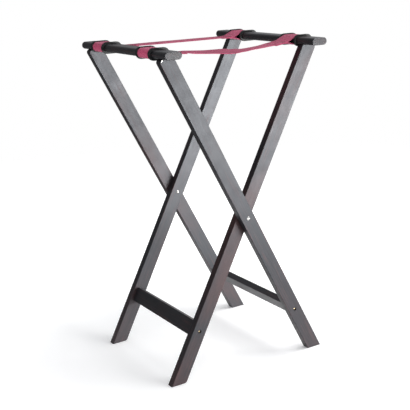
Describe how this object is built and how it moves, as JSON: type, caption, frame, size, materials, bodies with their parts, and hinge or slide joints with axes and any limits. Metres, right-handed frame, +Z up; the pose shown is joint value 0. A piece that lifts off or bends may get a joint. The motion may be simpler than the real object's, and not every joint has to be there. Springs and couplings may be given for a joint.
{
  "type": "folding tray stand",
  "caption": "Tall folding wooden stand: crossed leg frames turn on rivets, and webbing straps between oval top rails carry a tray or a case.",
  "frame": {"origin": "on the floor, under the middle of the open stand's bounding box", "axes": "+Z up; +Y along the top rails; +X across them, from the outer frame's rail to the inner frame's rail"},
  "size_m": [0.4476, 0.41, 0.792],
  "materials": {
    "leg_wood": "black-brown stain under satin lacquer, straight grain along the leg",
    "rail_wood": "black-brown stain under satin lacquer, grain along the rail",
    "stretcher_wood": "black-brown stain under satin lacquer, grain along the bar",
    "dowel_wood": "plain beech, unfinished",
    "webbing": "burgundy woven webbing",
    "grip_rubber": "matt black",
    "pivot_steel": "bright, lightly brushed",
    "screw_brass": "yellow zinc, slightly dull"
  },
  "bodies": {
    "outer_frame": {"outer_top_rail": "rail_wood", "outer_stretcher": "stretcher_wood", "outer_leg_near": "leg_wood", "outer_screw_near": "screw_brass", "outer_dowels_near": "dowel_wood", "outer_grip_near": "grip_rubber", "outer_strap_loop_near": "webbing", "outer_leg_far": "leg_wood", "outer_screw_far": "screw_brass", "outer_dowels_far": "dowel_wood", "outer_grip_far": "grip_rubber", "outer_strap_loop_far": "webbing", "rail_brad_near": "pivot_steel", "pivot_rivet_near": "pivot_steel", "pivot_cap_near": "pivot_steel", "pivot_washer_near": "pivot_steel", "strap_span_near": "webbing", "rail_brad_far": "pivot_steel", "pivot_rivet_far": "pivot_steel", "pivot_cap_far": "pivot_steel", "pivot_washer_far": "pivot_steel", "strap_span_far": "webbing"},
    "inner_frame": {"inner_top_rail": "rail_wood", "inner_stretcher": "stretcher_wood", "inner_leg_near": "leg_wood", "inner_screw_near": "screw_brass", "inner_dowels_near": "dowel_wood", "inner_grip_near": "grip_rubber", "inner_strap_loop_near": "webbing", "inner_leg_far": "leg_wood", "inner_screw_far": "screw_brass", "inner_dowels_far": "dowel_wood", "inner_grip_far": "grip_rubber", "inner_strap_loop_far": "webbing"}
  },
  "joints": [
    {"name": "fold", "type": "hinge", "parent": "outer_frame", "child": "inner_frame", "pos_m": [0, 0, 0.38], "axis": [0, -1, 0], "range_deg": [0, 45], "deforming": ["strap_span_near", "strap_span_far"]}
  ]
}
